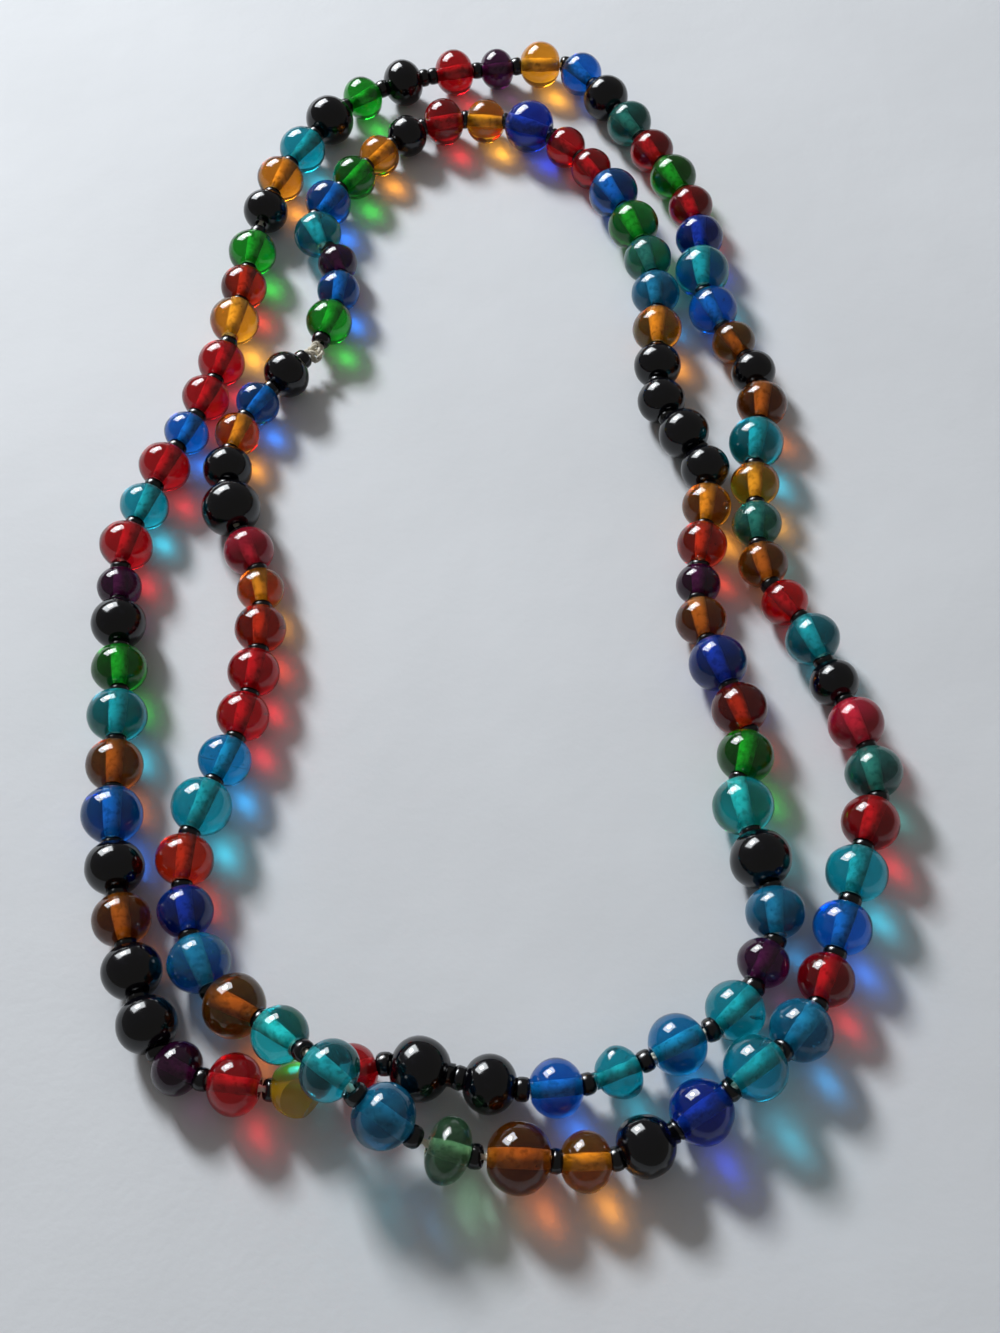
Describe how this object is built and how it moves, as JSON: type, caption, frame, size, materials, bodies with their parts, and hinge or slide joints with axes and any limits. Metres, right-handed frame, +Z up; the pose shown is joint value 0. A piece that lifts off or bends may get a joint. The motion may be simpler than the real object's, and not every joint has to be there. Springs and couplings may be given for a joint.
{
  "type": "beaded necklace",
  "caption": "Closed strand of round coloured glass beads with small black spacers on a knotted thread, lying in a double loop.",
  "frame": {"origin": "on the surface that the necklace lies on, under the middle of its bounding box", "axes": "+Y along the long way of the lying loop, towards its narrow end by the knot; +Z up off the surface"},
  "size_m": [0.1212, 0.2156, 0.0157],
  "materials": {
    "black_glass": "glossy, opaque",
    "plum_glass": "glossy, deep colour",
    "garnet_glass": "glossy, clear",
    "red_glass": "glossy, clear",
    "scarlet_glass": "glossy, clear",
    "amber_glass": "glossy, clear",
    "golden_glass": "glossy, clear",
    "brown_glass": "glossy, clear",
    "green_glass": "glossy, clear",
    "pale_green_glass": "glossy, clear",
    "seagreen_glass": "glossy, fine bubbles",
    "teal_glass": "glossy, clear",
    "turquoise_glass": "glossy, clear, fine bubbles",
    "azure_glass": "glossy, clear",
    "petrol_glass": "glossy, fine bubbles",
    "cobalt_glass": "glossy, clear",
    "navy_glass": "glossy, deep colour",
    "thread": "twisted cream thread"
  },
  "bodies": {
    "root": {"inner_left_1": "black_glass", "inner_left_2": "garnet_glass", "inner_left_3": "teal_glass", "inner_left_4": "petrol_glass", "bottom_outer_1": "turquoise_glass", "bottom_outer_2": "pale_green_glass", "bottom_outer_3": "petrol_glass", "lower_right_outer_1": "cobalt_glass", "lower_right_outer_2": "seagreen_glass", "lower_right_outer_3": "golden_glass", "upper_right_outer_1": "brown_glass", "upper_right_outer_2": "cobalt_glass", "upper_right_outer_3": "green_glass", "top_outer_1": "plum_glass", "top_outer_2": "black_glass", "upper_left_outer_1": "amber_glass", "upper_left_outer_2": "scarlet_glass", "upper_left_outer_3": "red_glass", "lower_left_outer_1": "plum_glass", "lower_left_outer_2": "brown_glass", "lower_left_outer_3": "black_glass", "bottom_inner_1": "red_glass", "bottom_inner_2": "black_glass", "bottom_inner_3": "azure_glass", "lower_right_inner_1": "petrol_glass", "lower_right_inner_2": "navy_glass", "lower_right_inner_3": "amber_glass", "upper_right_inner_1": "black_glass", "upper_right_inner_2": "seagreen_glass", "upper_right_inner_3": "navy_glass", "top_inner_1": "red_glass", "top_inner_2": "green_glass", "top_inner_3": "cobalt_glass", "knot": "thread"}
  },
  "joints": []
}
